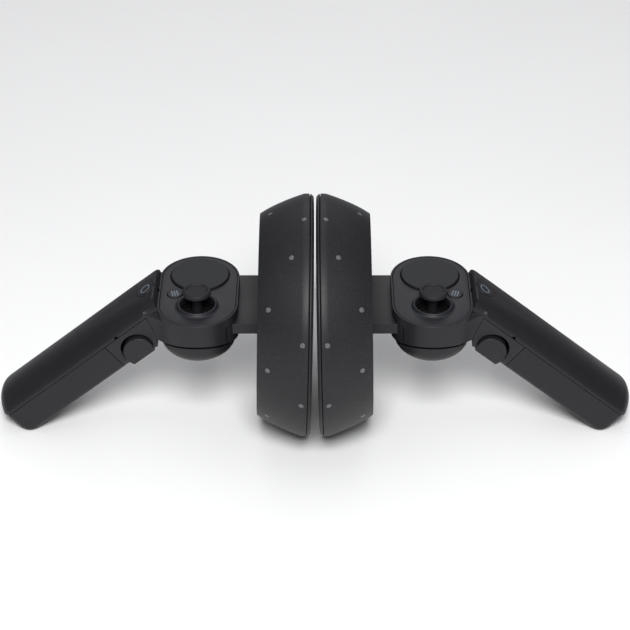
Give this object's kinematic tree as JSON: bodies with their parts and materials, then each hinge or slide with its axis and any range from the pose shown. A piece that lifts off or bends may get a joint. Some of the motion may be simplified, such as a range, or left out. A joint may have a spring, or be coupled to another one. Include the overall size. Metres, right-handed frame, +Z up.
{
  "type": "motion controller pair",
  "caption": "Mirrored pair of handheld motion controllers, each with a tracking ring, thumbstick, touchpad, trigger and battery handle, standing ring to ring.",
  "frame": {"origin": "on the table plane, midway between the two controllers, under the rings' common axis", "axes": "+X from the left hand's controller to the right hand's, +Y away from the thumbstick side, +Z up from the table"},
  "size_m": [0.3104, 0.1172, 0.1172],
  "materials": {
    "shell_plastic": "fine satin texture, charcoal black",
    "face_plastic": "smooth satin, slightly blue black",
    "ring_plastic": "matte with a fine grain, black",
    "stick_rubber": "soft-touch rubber, black",
    "inner_plastic": "moulded black plastic",
    "steel": "plain steel",
    "circuit_board": "green solder resist",
    "cell_jacket": "plain printed jacket, blue"
  },
  "bodies": {
    "left_body": {"left_upper_shell": "shell_plastic", "left_lower_shell": "shell_plastic", "left_face_plate": "face_plastic", "left_stick_module": "inner_plastic", "left_trigger_pin": "steel", "left_trigger_spring": "steel", "left_ring_outer_shell": "ring_plastic", "left_ring_inner_shell": "ring_plastic", "left_ring_trim": "ring_plastic", "left_led_strip": "circuit_board", "left_neck_arm": "shell_plastic", "left_neck_screw": "steel", "left_ring_screw": "steel", "left_battery_near": "cell_jacket", "left_battery_far": "cell_jacket", "left_battery_tray": "inner_plastic", "left_battery_contact": "steel", "left_main_board": "circuit_board", "left_vibration_motor": "steel"},
    "left_pad": {"left_touchpad": "face_plastic", "left_touch_sensor": "circuit_board"},
    "left_stick_carrier": {"left_stick_carrier": "inner_plastic"},
    "left_stick_gimbal": {"left_stick_gimbal": "inner_plastic"},
    "left_stick": {"left_stick_cap": "stick_rubber"},
    "left_menu": {"left_menu_button": "face_plastic"},
    "left_home": {"left_home_button": "shell_plastic"},
    "left_grip": {"left_grip_button": "shell_plastic"},
    "left_trigger": {"left_trigger": "shell_plastic"},
    "left_cover": {"left_battery_cover": "shell_plastic"},
    "left_pairing": {"left_pairing_button": "inner_plastic"},
    "right_body": {"right_upper_shell": "shell_plastic", "right_lower_shell": "shell_plastic", "right_face_plate": "face_plastic", "right_stick_module": "inner_plastic", "right_trigger_pin": "steel", "right_trigger_spring": "steel", "right_ring_outer_shell": "ring_plastic", "right_ring_inner_shell": "ring_plastic", "right_ring_trim": "ring_plastic", "right_led_strip": "circuit_board", "right_neck_arm": "shell_plastic", "right_neck_screw": "steel", "right_ring_screw": "steel", "right_battery_near": "cell_jacket", "right_battery_far": "cell_jacket", "right_battery_tray": "inner_plastic", "right_battery_contact": "steel", "right_main_board": "circuit_board", "right_vibration_motor": "steel"},
    "right_pad": {"right_touchpad": "face_plastic", "right_touch_sensor": "circuit_board"},
    "right_stick_carrier": {"right_stick_carrier": "inner_plastic"},
    "right_stick_gimbal": {"right_stick_gimbal": "inner_plastic"},
    "right_stick": {"right_stick_cap": "stick_rubber"},
    "right_menu": {"right_menu_button": "face_plastic"},
    "right_home": {"right_home_button": "shell_plastic"},
    "right_grip": {"right_grip_button": "shell_plastic"},
    "right_trigger": {"right_trigger": "shell_plastic"},
    "right_cover": {"right_battery_cover": "shell_plastic"},
    "right_pairing": {"right_pairing_button": "inner_plastic"}
  },
  "joints": [
    {"name": "left_touchpad_click", "type": "slide", "parent": "left_body", "child": "left_pad", "axis": [0, 0, -1], "range_m": [0, 0.0004], "stiffness_N_per_m": 700, "springref_m": -0.001},
    {"name": "left_stick_click", "type": "slide", "parent": "left_body", "child": "left_stick_carrier", "axis": [0, 0, -1], "range_m": [0, 0.0004], "stiffness_N_per_m": 700, "springref_m": -0.001},
    {"name": "left_stick_pitch", "type": "hinge", "parent": "left_stick_carrier", "child": "left_stick_gimbal", "pos_m": [-0.05575, -0.0135, 0.06564], "axis": [1, 0, 0], "range_deg": [-18, 18], "stiffness_Nm_per_rad": 0.02},
    {"name": "left_stick_roll", "type": "hinge", "parent": "left_stick_gimbal", "child": "left_stick", "pos_m": [-0.05575, -0.0135, 0.06564], "axis": [0, 1, 0], "range_deg": [-18, 18], "stiffness_Nm_per_rad": 0.02},
    {"name": "left_menu_press", "type": "slide", "parent": "left_body", "child": "left_menu", "axis": [0, 0, -1], "range_m": [0, 0.0004], "stiffness_N_per_m": 700, "springref_m": -0.001},
    {"name": "left_home_press", "type": "slide", "parent": "left_body", "child": "left_home", "axis": [0.515, 0, -0.8572], "range_m": [0, 0.0003], "stiffness_N_per_m": 700, "springref_m": -0.001},
    {"name": "left_grip_press", "type": "slide", "parent": "left_body", "child": "left_grip", "axis": [0, 1, 0], "range_m": [0, 0.0015], "stiffness_N_per_m": 500, "springref_m": -0.002},
    {"name": "left_trigger_pull", "type": "hinge", "parent": "left_body", "child": "left_trigger", "pos_m": [-0.0705, 0, 0.05954], "axis": [0, -1, 0], "range_deg": [0, 10], "stiffness_Nm_per_rad": 0.1, "springref_deg": -11.46, "deforming": ["left_trigger_spring"]},
    {"name": "left_cover_slide", "type": "slide", "parent": "left_body", "child": "left_cover", "axis": [-0.7716, 0, -0.6361], "range_m": [0, 0.07]},
    {"name": "left_pairing_press", "type": "slide", "parent": "left_body", "child": "left_pairing", "axis": [-0.6361, 0, 0.7716], "range_m": [0, 0.0003], "stiffness_N_per_m": 700, "springref_m": -0.001},
    {"name": "right_touchpad_click", "type": "slide", "parent": "right_body", "child": "right_pad", "axis": [0, 0, -1], "range_m": [0, 0.0004], "stiffness_N_per_m": 700, "springref_m": -0.001},
    {"name": "right_stick_click", "type": "slide", "parent": "right_body", "child": "right_stick_carrier", "axis": [0, 0, -1], "range_m": [0, 0.0004], "stiffness_N_per_m": 700, "springref_m": -0.001},
    {"name": "right_stick_pitch", "type": "hinge", "parent": "right_stick_carrier", "child": "right_stick_gimbal", "pos_m": [0.05575, -0.0135, 0.06564], "axis": [1, 0, 0], "range_deg": [-18, 18], "stiffness_Nm_per_rad": 0.02},
    {"name": "right_stick_roll", "type": "hinge", "parent": "right_stick_gimbal", "child": "right_stick", "pos_m": [0.05575, -0.0135, 0.06564], "axis": [0, -1, 0], "range_deg": [-18, 18], "stiffness_Nm_per_rad": 0.02},
    {"name": "right_menu_press", "type": "slide", "parent": "right_body", "child": "right_menu", "axis": [0, 0, -1], "range_m": [0, 0.0004], "stiffness_N_per_m": 700, "springref_m": -0.001},
    {"name": "right_home_press", "type": "slide", "parent": "right_body", "child": "right_home", "axis": [-0.515, 0, -0.8572], "range_m": [0, 0.0003], "stiffness_N_per_m": 700, "springref_m": -0.001},
    {"name": "right_grip_press", "type": "slide", "parent": "right_body", "child": "right_grip", "axis": [0, 1, 0], "range_m": [0, 0.0015], "stiffness_N_per_m": 500, "springref_m": -0.002},
    {"name": "right_trigger_pull", "type": "hinge", "parent": "right_body", "child": "right_trigger", "pos_m": [0.0705, 0, 0.05954], "axis": [0, 1, 0], "range_deg": [0, 10], "stiffness_Nm_per_rad": 0.1, "springref_deg": -11.46, "deforming": ["right_trigger_spring"]},
    {"name": "right_cover_slide", "type": "slide", "parent": "right_body", "child": "right_cover", "axis": [0.7716, 0, -0.6361], "range_m": [0, 0.07]},
    {"name": "right_pairing_press", "type": "slide", "parent": "right_body", "child": "right_pairing", "axis": [0.6361, 0, 0.7716], "range_m": [0, 0.0003], "stiffness_N_per_m": 700, "springref_m": -0.001},
    {"name": "right_controller_lift", "type": "slide", "parent": "left_body", "child": "right_body", "axis": [1, 0, 0], "range_m": [0, 0.2]}
  ]
}
